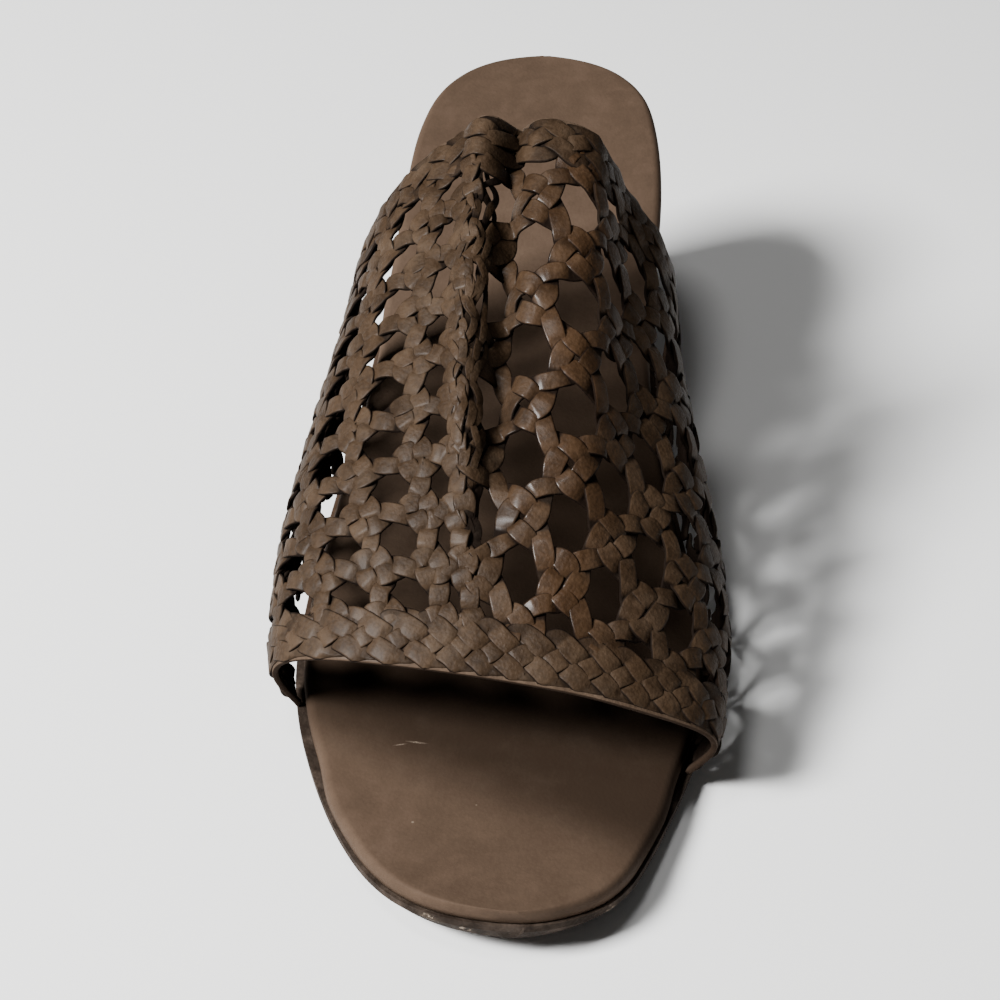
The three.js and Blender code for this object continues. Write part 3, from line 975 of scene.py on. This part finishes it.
@dataclass(frozen=True)
class Wedge:
    """The covered wedge: rings with drawn-in flanks, carried from the ball of the foot to the heel."""

    inset: float = 0.5
    waist: float = 1.2
    most_waist: float = 0.2
    least: float = 1.1
    stations: int = 150
    flank_steps: int = 9
    search_steps: int = 4000

    def build(self, material: Material) -> None:
        """Builds the wedge from its flanks, which bow inwards along half a sine wave.

        Args:
            material: finish of the cover.
        """
        fine = np.linspace(0, SOLE.length, self.search_steps)
        first = float(fine[np.argmax(SOLE.rise(fine) - SOLE.gap >= self.least)])
        place = SOLE.stations(self.stations, first)
        lateral, medial = SOLE.edges(place, self.inset)
        back = SOLE.brought_in(place, self.inset)
        bottom = SOLE.outsole + SOLE.gap
        height = SOLE.insole_bottom(back) - SOLE.gap - bottom
        waist = np.minimum(self.waist * height / SOLE.rise_table[-1][1], self.most_waist * (medial - lateral))
        share = np.linspace(0, 1, self.flank_steps)
        bow = waist * np.sin(math.pi * share)
        low = SOLE.leaned(back)
        y = low + (back - low) * share
        z = bottom + height * share
        left, right = (np.dstack([x, y, z]) for x in (lateral + bow, medial - bow))
        pool = MeshPool()
        pool.add_tube(np.hstack([left, right[:, ::-1]]), 1.0)
        pool.build("wedge_cover", material, Slot.WEDGE, "wedge")


@dataclass(frozen=True)
class Outsole:
    """The thin outsole: an upright lip over a flank that leans in, carried from toe to heel."""

    undercut: float = 2.2
    end_undercut: float = 0.7
    lip: float = 1.5
    stations: int = 170
    flank_steps: int = 5

    def build(self, material: Material) -> None:
        """Builds the outsole's rings: the flank runs in a straight line from the floor edge up to the lip.

        Args:
            material: finish of the outsole.
        """
        back = SOLE.stations(self.stations)
        bottom = SOLE.spring(back)
        share = np.linspace(0, 1, self.flank_steps)
        low, high = SOLE.leaned(SOLE.brought_in(back, self.end_undercut)), SOLE.leaned(back)
        y = np.hstack([low + (high - low) * share, high])
        z = np.hstack([bottom + (SOLE.outsole - self.lip) * share, bottom + SOLE.outsole])
        sides = []
        for edge, floor_edge in zip(SOLE.edges(back, 0), SOLE.edges(back, self.undercut)):
            x = np.hstack([floor_edge + (edge - floor_edge) * share, edge])
            sides.append(np.dstack([x, y, z]))
        pool = MeshPool()
        pool.add_tube(np.hstack([sides[0], sides[1][:, ::-1]]), 1.0)
        piece = pool.build("outsole_rubber", material, Slot.OUTSOLE, "outsole")
        piece.data.polygons.foreach_set("use_smooth", np.zeros(len(piece.data.polygons), bool))


@dataclass(frozen=True)
class Speckle:
    """A noise pattern: its scale or share of a scale, its octaves and the strength of the fine ones."""

    scale: float
    detail: float
    rough: float


class NodeKit:
    """Short words for building shader nodes in one tree."""

    # numbers of a Mix node's colour sockets, whose names its other sockets share
    MIX_FIRST, MIX_SECOND, MIX_RESULT = 6, 7, 2

    def __init__(self, tree: Tree) -> None:
        """Keeps the tree that nodes go into."""
        self.tree = tree

    def add(self, kind: str, inputs: dict[str | int, object] | None = None, **settings: object) -> Node:
        """Adds a node, sets its properties and feeds its inputs.

        Args:
            kind: Blender's name of the node type.
            inputs: values or sockets by the input's name or number.
            **settings: node properties by name.

        Returns:
            The new node.
        """
        node = self.tree.nodes.new(kind)
        for name, value in settings.items():
            setattr(node, name, value)
        self.feed(node, inputs or {})
        return node

    def feed(self, node: Node, inputs: dict[str | int, object]) -> None:
        """Feeds a node: links each socket in, or sets the input's own value.

        Args:
            node: the node that takes the values.
            inputs: values or sockets by the input's name or number.
        """
        for name, value in inputs.items():
            if isinstance(value, Socket):
                self.tree.links.new(value, node.inputs[name])
            else:
                node.inputs[name].default_value = value

    def maths(self, operation: str, first: object, second: object, clamp: bool = False) -> Socket:
        """Adds a Math node; clamp holds its result between 0 and 1."""
        inputs = {0: first, 1: second}
        return self.add("ShaderNodeMath", inputs, operation=operation, use_clamp=clamp).outputs[0]

    def scaled(self, first: object, second: object) -> Socket:
        """Multiplies two values."""
        return self.maths("MULTIPLY", first, second)

    def inverse(self, value: Socket) -> Socket:
        """Takes a value from 1."""
        return self.maths("SUBTRACT", 1.0, value)

    def noise(self, vector: Socket, speckle: Speckle, scale: Socket | None = None) -> Socket:
        """Adds a Noise Texture.

        Args:
            vector: socket of the coordinates.
            speckle: the noise's pattern.
            scale: socket that the pattern's scale is a share of, where there is one.

        Returns:
            The factor's socket.
        """
        size = self.scaled(scale, speckle.scale) if scale else speckle.scale
        inputs = {"Vector": vector, "Scale": size, "Detail": speckle.detail, "Roughness": speckle.rough}
        return self.add("ShaderNodeTexNoise", inputs).outputs["Fac"]

    def between(self, value: Socket, low: float, high: float) -> Socket:
        """Maps a value from low..high to 0..1 with soft ends."""
        inputs = {"Value": value, "From Min": low, "From Max": high}
        return self.add("ShaderNodeMapRange", inputs, interpolation_type="SMOOTHSTEP").outputs["Result"]

    def blend(self, factor: object, first: object, second: object, kind: str = "MIX") -> Socket:
        """Mixes two colours, by the factor's share of the second one."""
        inputs = {"Factor": factor, self.MIX_FIRST: first, self.MIX_SECOND: second}
        return self.add("ShaderNodeMix", inputs, data_type="RGBA", blend_type=kind).outputs[self.MIX_RESULT]

    def washed(self, colour: Socket, mask: Socket, strength: float, over: object) -> Socket:
        """Lays another colour over a colour, by a mask and its strength."""
        return self.blend(self.scaled(mask, strength), colour, over)

    def attribute(self, name: str) -> Socket:
        """Reads one of the piece's own attributes."""
        return self.add("ShaderNodeAttribute", attribute_name=name).outputs["Fac"]

    def group(self, tree: Tree, **inputs: object) -> Outputs:
        """Adds a node group, feeds its inputs and gives its outputs."""
        return self.add("ShaderNodeGroup", inputs, node_tree=tree).outputs


class Effects:
    """Node groups that several finishes share, each built once."""

    PORES = Speckle(2.3, 4.0, 0.6)
    CREASES = Speckle(0.22, 5.0, 0.62)
    PATCHES = Speckle(0.06, 4.0, 0.6)
    RUBBING = Speckle(160.0, 5.0, 0.65)
    DUST = Speckle(90.0, 6.0, 0.7)
    SPECKS = Speckle(1400.0, 3.0, 0.6)
    PEBBLE_DEPTH, PORE_DEPTH, CREASE_DEPTH = -0.5, 0.35, 0.7
    # rise values that count as proud for rubbing, and the low ones where painted shade falls
    PROUD, DEEP = (0.35, 0.65), (0.1, 0.5)
    RUBBED_PATCH, DUST_PATCH, SPECK_PATCH = (0.42, 0.72), (0.45, 0.8), (0.53, 0.6)
    LOOKING_UP, MARK_FADE = (0.1, 0.95), (0.4, 1.0)

    def __init__(self) -> None:
        """Builds the groups."""
        self.grain = self._grain()
        self.wear = self._wear_and_shade()
        self.dust = self._dust()
        self.mark = self._mark()

    def _group(
        self, name: str, vectors: Sequence[str], values: Sequence[str], gives: Sequence[str]
    ) -> tuple[NodeKit, Outputs, Node]:
        """Opens a node group with named sockets.

        Args:
            name: name of the group.
            vectors: names of the vector inputs.
            values: names of the value inputs.
            gives: names of the value outputs.

        Returns:
            A kit for the group, the sockets it takes, and its output node.
        """
        kit = NodeKit(bpy.data.node_groups.new(name, "ShaderNodeTree"))
        kinds = ((vectors, "INPUT", "Vector"), (values, "INPUT", "Float"), (gives, "OUTPUT", "Float"))
        for labels, way, kind in kinds:
            for label in labels:
                kit.tree.interface.new_socket(label, in_out=way, socket_type="NodeSocket" + kind)
        return kit, kit.add("NodeGroupInput").outputs, kit.add("NodeGroupOutput")

    def _grain(self) -> Tree:
        """Builds leather grain: small pebbles between creases, with fine pores and broad patches of tone."""
        kit, takes, result = self._group("leather_grain", ["Vector"], ["Scale"], ["Height", "Tone"])
        vector, scale = takes["Vector"], takes["Scale"]
        pebble = kit.add("ShaderNodeTexVoronoi", {"Vector": vector, "Scale": scale}, feature="SMOOTH_F1")
        height = kit.scaled(pebble.outputs["Distance"], self.PEBBLE_DEPTH)
        for speckle, depth in ((self.PORES, self.PORE_DEPTH), (self.CREASES, self.CREASE_DEPTH)):
            height = kit.maths("ADD", height, kit.scaled(kit.noise(vector, speckle, scale), depth))
        kit.feed(result, {"Height": height, "Tone": kit.noise(vector, self.PATCHES, scale)})
        return kit.tree

    def _wear_and_shade(self) -> Tree:
        """Builds wear and painted shade: strips that lie proud are rubbed pale in patches, and the low places
        get painted shade.
        """
        kit, takes, result = self._group("wear_and_painted_shade", ["Vector"], ["Rise"], ["Rubbed", "DeepShade"])
        patch = kit.between(kit.noise(takes["Vector"], self.RUBBING), *self.RUBBED_PATCH)
        rubbed = kit.scaled(kit.between(takes["Rise"], *self.PROUD), patch)
        # DeepShade is painted shade: strip edges, strips dipping under others, and the insole's painted
        # shadow
        kit.feed(result, {"Rubbed": rubbed, "DeepShade": kit.inverse(kit.between(takes["Rise"], *self.DEEP))})
        return kit.tree

    def _dust(self) -> Tree:
        """Builds dust: a thin patchy film on faces that look up."""
        kit, takes, result = self._group("dust_film", ["Vector"], [], ["Film"])
        normal = kit.add("ShaderNodeNewGeometry").outputs["Normal"]
        up = kit.add("ShaderNodeSeparateXYZ", {"Vector": normal}).outputs["Z"]
        patch = kit.between(kit.noise(takes["Vector"], self.DUST), *self.DUST_PATCH)
        kit.feed(result, {"Film": kit.scaled(kit.between(up, *self.LOOKING_UP), patch)})
        return kit.tree

    def _mark(self) -> Tree:
        """Builds one worn mark: a soft ellipsoid at its own place, whole or broken into specks."""
        vectors = ["Vector", "Place", "Turn", "Size"]
        kit, takes, result = self._group("worn_mark", vectors, ["Specks"], ["Mask"])
        sockets = zip(("Vector", "Location", "Rotation", "Scale"), vectors)
        inputs = {socket: takes[label] for socket, label in sockets}
        local = kit.add("ShaderNodeMapping", inputs, vector_type="TEXTURE").outputs["Vector"]
        distance = kit.add("ShaderNodeVectorMath", {0: local}, operation="LENGTH").outputs["Value"]
        inside = kit.inverse(kit.between(distance, *self.MARK_FADE))
        speck = kit.between(kit.noise(takes["Vector"], self.SPECKS), *self.SPECK_PATCH)
        lost = kit.scaled(kit.inverse(speck), takes["Specks"])
        kit.feed(result, {"Mask": kit.scaled(inside, kit.inverse(lost))})
        return kit.tree


@dataclass(frozen=True)
class Mark:
    """A pale worn mark in the sole's own millimetres; specks of 1 break it up wholly."""

    place: Place
    size: Place
    turn: float
    specks: float
    strength: float = 0.6

    def mask(self, kit: NodeKit, effects: Effects, vector: Socket) -> Socket:
        """Adds the mark's group at its place.

        Args:
            kit: the material's nodes.
            effects: the shared node groups.
            vector: socket of the coordinates.

        Returns:
            The mask's socket.
        """
        place = SOLE.to_frame(np.array(self.place)).tolist()
        size = [part * MM for part in self.size]
        turn = (0.0, 0.0, math.radians(self.turn))
        inputs = {"Vector": vector, "Place": place, "Turn": turn, "Size": size, "Specks": self.specks}
        return kit.group(effects.mark, **inputs)["Mask"]


@dataclass(frozen=True)
class LeatherFinish:
    """A leather finish: a base colour, painted shade in deep places and grain creases, pale rubbed places,
    grain and a satin coat.
    """

    name: str
    # colour of the painted shade in deep places and grain creases
    base: Display
    shade_colour: Display
    rubbed: Display
    roughness: float = 0.5
    grain_scale: float = 1500.0
    grain_depth: float = 0.6
    grain_height: float = 0.0004
    # strength of the painted shade in the grain's creases
    crease: float = 0.3
    crease_range: Pair = (0.15, 0.42)
    coat: float = 0.02
    coat_roughness: float = 0.22
    polish_coat: float = 0.12
    polish_warmth: float = 0.6
    warmth: Linear = (1.1, 0.88, 0.66, 1.0)
    wear: float = 0.6
    # strength of the painted shade in deep places
    depth: float = 0.9
    dust: float = 0.06
    dust_colour: Display = (150, 135, 118)
    gloss: float = 0.06
    mottle: float = 0.62
    mottle_range: Pair = (0.35, 1.0)
    strip_mottle: float = 0.5
    patch_mottle: float = 0.9
    patch_rough: float = 0.25
    patch_middle: float = 0.12
    deep_rough: float = 0.35
    dust_rough: float = 0.3
    marks: tuple[Mark, ...] = ()
    mark_colour: Display = (168, 152, 134)

    def build(self, effects: Effects) -> Material:
        """Builds the material.

        Args:
            effects: the shared node groups.

        Returns:
            The material.
        """
        material, shader = new_material(self.name)
        kit = NodeKit(material.node_tree)
        vector = kit.add("ShaderNodeTexCoord").outputs["Object"]
        grain = kit.group(effects.grain, Vector=vector, Scale=self.grain_scale)
        wear = kit.group(effects.wear, Vector=vector, Rise=kit.attribute("rise"))
        polish = kit.attribute("polish")
        film = kit.scaled(kit.group(effects.dust, Vector=vector)["Film"], self.dust)
        colour = self._leather(kit, grain, wear, polish)
        colour = kit.blend(film, colour, linear_colour(self.dust_colour))
        for mark in self.marks:
            mask = mark.mask(kit, effects, vector)
            colour = kit.washed(colour, mask, mark.strength, linear_colour(self.mark_colour))
        coat = kit.maths("ADD", kit.scaled(polish, self.polish_coat), self.coat)
        bump = {"Strength": self.grain_depth, "Distance": self.grain_height, "Height": grain["Height"]}
        inputs = {
            "Base Color": colour,
            "Roughness": self._rough(kit, grain["Tone"], wear["DeepShade"], film),
            "Coat Weight": kit.scaled(coat, kit.inverse(wear["DeepShade"])),
            "Coat Roughness": self.coat_roughness,
            "Specular IOR Level": self.gloss,
            "Normal": kit.add("ShaderNodeBump", bump).outputs["Normal"],
        }
        kit.feed(shader, inputs)
        return material

    def _leather(self, kit: NodeKit, grain: Outputs, wear: Outputs, polish: Socket) -> Socket:
        """Lays the leather's colours over each other: mottled base, painted shade in creases, rubbed places,
        painted shade in deep places, polish.

        Args:
            kit: the material's nodes.
            grain: outputs of the grain group.
            wear: outputs of the wear group.
            polish: socket of the polish attribute.

        Returns:
            The colour's socket.
        """
        base, shade_colour = linear_colour(self.base), linear_colour(self.shade_colour)
        darker = (*(self.mottle * part for part in base[:3]), 1.0)
        strip = kit.scaled(kit.attribute("tone"), self.strip_mottle)
        patch = kit.maths("ADD", strip, kit.scaled(grain["Tone"], self.patch_mottle))
        colour = kit.blend(kit.between(patch, *self.mottle_range), darker, base)
        # painted shade in the grain's creases
        crease = kit.inverse(kit.between(grain["Height"], *self.crease_range))
        colour = kit.washed(colour, crease, self.crease, shade_colour)
        colour = kit.washed(colour, wear["Rubbed"], self.wear, linear_colour(self.rubbed))
        # painted shade in deep places: strip edges, strips under others, the insole's painted shadow
        colour = kit.washed(colour, wear["DeepShade"], self.depth, shade_colour)
        warm = kit.blend(1.0, colour, self.warmth, "MULTIPLY")
        return kit.washed(colour, polish, self.polish_warmth, warm)

    def _rough(self, kit: NodeKit, tone: Socket, deep: Socket, film: Socket) -> Socket:
        """Adds up the roughness: uneven by patches, rougher in deep places and under dust.

        Args:
            kit: the material's nodes.
            tone: socket of the broad patches.
            deep: socket of the deep places.
            film: socket of the dust.

        Returns:
            The roughness's socket.
        """
        rough = kit.maths("ADD", kit.scaled(tone, self.patch_rough), self.roughness - self.patch_middle)
        rough = kit.maths("ADD", rough, kit.scaled(deep, self.deep_rough))
        return kit.maths("ADD", rough, kit.scaled(film, self.dust_rough), clamp=True)


WOVEN = LeatherFinish(
    "woven_leather",
    base=(52, 39, 27),
    shade_colour=(10, 5, 3),
    rubbed=(67, 53, 40),
    marks=(Mark((-46.0, 59.0, 10.0), (4.0, 3.0, 6.0), 0.0, 0.8, 0.3),),
)
TURNED_EDGE = LeatherFinish(
    "turned_edge", base=(72, 58, 46), shade_colour=(40, 30, 23), rubbed=(96, 80, 66), roughness=0.7
)
INSOLE_LEATHER = LeatherFinish(
    "insole_leather",
    base=(70, 56, 45),
    # colour of the insole's painted shadow behind the toes and under the upper
    shade_colour=(34, 25, 18),
    rubbed=(84, 68, 56),
    roughness=0.66,
    grain_depth=0.2,
    crease=0.1,
    coat=0.0,
    wear=0.3,
    dust=0.02,
    mottle=0.84,
    marks=(
        Mark((-16.8, 47.4, 7.4), (2.6, 0.3, 1.2), -6.0, 0.6, 0.3),
        Mark((-20.0, 46.6, 7.4), (1.8, 0.22, 1.2), 14.0, 0.6, 0.2),
        Mark((-15.6, 25.4, 8.2), (0.35, 0.35, 1.2), 0.0, 0.0, 0.25),
        Mark((-4.0, 31.0, 8.0), (0.25, 0.25, 1.2), 0.0, 0.0, 0.15),
    ),
)
WEDGE_COVER = LeatherFinish(
    "wedge_cover", base=(58, 44, 34), shade_colour=(26, 19, 15), rubbed=(78, 63, 51), wear=0.25
)
RUBBER = LeatherFinish(
    "outsole_rubber",
    base=(40, 32, 26),
    shade_colour=(22, 17, 14),
    rubbed=(84, 72, 63),
    roughness=0.75,
    coat=0.0,
    wear=0.5,
    marks=(
        Mark((-10.0, 3.4, 7.2), (3.2, 2.2, 1.6), -12.0, 0.9),
        Mark((-3.8, 2.0, 7.0), (3.0, 2.2, 1.2), 0.0, 1.0),
        Mark((21.5, 8.7, 6.4), (1.6, 2.2, 1.2), 40.0, 1.0),
    ),
)


@dataclass(frozen=True)
class Lamp:
    """A square soft light in the frame's metres and watts, aimed at the shoe."""

    name: str
    place: Place
    size: float
    power: float
    target: Place = (0.0, 0.0, 0.03)

    def build(self) -> None:
        """Hangs the light."""
        data = bpy.data.lights.new(self.name, "AREA")
        data.size = self.size
        data.energy = self.power
        aim(placed(self.name, data), self.place, self.target)


@dataclass(frozen=True)
class Studio:
    """Pale floor, soft lights, and the camera at the photograph's angle to the shoe."""

    elevation: float = 44.0
    azimuth: float = 3.5
    distance: float = 450.0
    sighted: Place = (-1.0, 57.0, 3.0)
    target: Place = (-4.0, 104.0, 24.0)
    focal_pixels: float = 2240.0
    image_pixels: float = 1000.0
    sensor: float = 36.0
    nearest: float = 0.01
    lamps: tuple[Lamp, ...] = (
        Lamp("key", (-0.9, -0.45, 0.95), 0.4, 66.0),
        Lamp("fill", (0.9, -0.7, 0.7), 1.0, 0.1),
        Lamp("top", (-0.35, -0.15, 1.45), 0.3, 5.0),
    )
    room_colour: Linear = (1.0, 1.0, 1.0, 1.0)
    room_light: float = 0.06
    floor_half: float = 4.0
    floor_colour: Linear = (0.86, 0.86, 0.85, 1.0)
    floor_roughness: float = 0.9

    def build(self) -> None:
        """Sets up the floor, the lights and the camera."""
        self._floor()
        for lamp in self.lamps:
            lamp.build()
        self._room()
        self._camera()

    def _camera(self) -> None:
        """Places the camera on the photograph's line of sight and aims it at the middle of the shoe."""
        rise, swing = math.radians(self.elevation), math.radians(self.azimuth)
        level = math.cos(rise)
        toward = np.array([math.sin(swing) * level, -math.cos(swing) * level, math.sin(rise)])
        place = SOLE.to_frame(np.array(self.sighted) + toward * self.distance)
        data = bpy.data.cameras.new("camera")
        data.sensor_width = self.sensor
        data.lens = self.sensor * self.focal_pixels / self.image_pixels
        data.clip_start = self.nearest
        camera = placed("camera", data)
        aim(camera, place, SOLE.to_frame(np.array(self.target)))
        bpy.context.scene.camera = camera

    def _floor(self) -> None:
        """Lays a wide pale floor under the shoe."""
        half = self.floor_half
        corners = [(-half, -half, 0), (half, -half, 0), (half, half, 0), (-half, half, 0)]
        mesh = bpy.data.meshes.new("floor")
        mesh.from_pydata(corners, [], [(0, 1, 2, 3)])
        material, shader = new_material("pale_floor")
        colours = {"Base Color": self.floor_colour, "Roughness": self.floor_roughness}
        NodeKit(material.node_tree).feed(shader, colours)
        mesh.materials.append(material)
        floor = placed("floor", mesh)

    def _room(self) -> None:
        """Lights the room softly from all sides."""
        world = bpy.data.worlds.new("soft_room")
        world.use_nodes = True
        kit = NodeKit(world.node_tree)
        light = {"Color": self.room_colour, "Strength": self.room_light}
        kit.feed(kit.tree.nodes["Background"], light)
        bpy.context.scene.world = world


def main() -> None:
    """Builds the studio and every piece of the sandal, and notes the sizes."""
    logging.basicConfig(level=logging.INFO, format="%(name)s: %(message)s")
    Studio().build()
    effects = Effects()
    Upper().build(WOVEN.build(effects), TURNED_EDGE.build(effects))
    Insole().build(INSOLE_LEATHER.build(effects))
    Wedge().build(WEDGE_COVER.build(effects))
    Outsole().build(RUBBER.build(effects))


if __name__ == "__main__":
    main()
